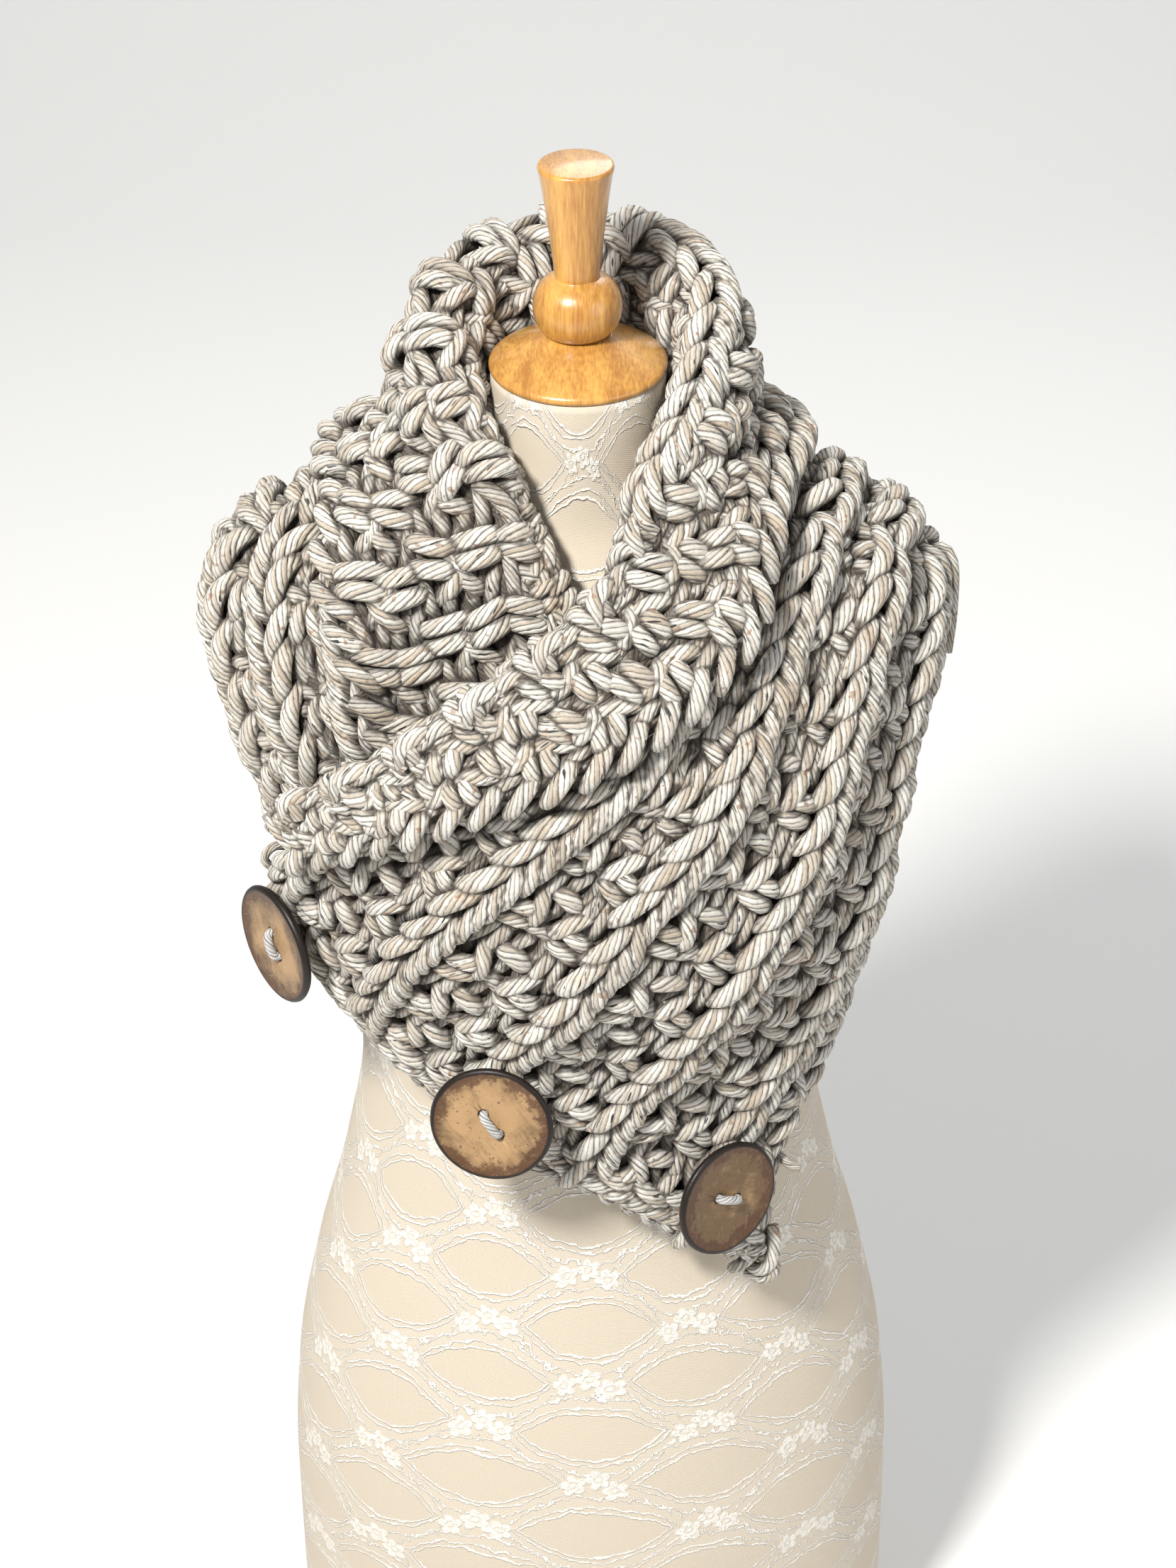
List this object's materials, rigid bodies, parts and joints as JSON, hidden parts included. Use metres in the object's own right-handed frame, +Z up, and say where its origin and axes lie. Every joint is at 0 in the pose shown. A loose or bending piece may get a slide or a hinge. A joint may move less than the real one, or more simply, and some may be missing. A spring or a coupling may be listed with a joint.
{
  "type": "knitted wrap on dress form",
  "caption": "Chunky ribbed knitted wrap wound round a limbless dress form: turned collar, crossed front, slanting buttoned edge, wooden neck cap and finial",
  "frame": {"origin": "Centre of the form's flat base, on the form's upright axis", "axes": "+Z is up, the front faces -Y, and the viewer's right is +X"},
  "size_m": [0.374, 0.2864, 0.968],
  "materials": {
    "yarn": "matt, oatmeal marled tweed yarn",
    "coconut_shell": "polished mottled coconut shell with a dark rim",
    "tie_yarn": "matt, light grey yarn",
    "lace_cover": "matt, cream lace over plain cloth",
    "varnished_wood": "gloss varnish"
  },
  "bodies": {
    "root": {"wrap_right_front": "yarn", "wrap_left_front": "yarn", "wrap_back": "yarn", "wrap_collar": "yarn", "button_1": "coconut_shell", "button_2": "coconut_shell", "button_3": "coconut_shell", "button_tie_1": "tie_yarn", "button_tie_2": "tie_yarn", "button_tie_3": "tie_yarn", "form_body": "lace_cover", "neck_cap": "varnished_wood", "finial": "varnished_wood"}
  },
  "joints": []
}
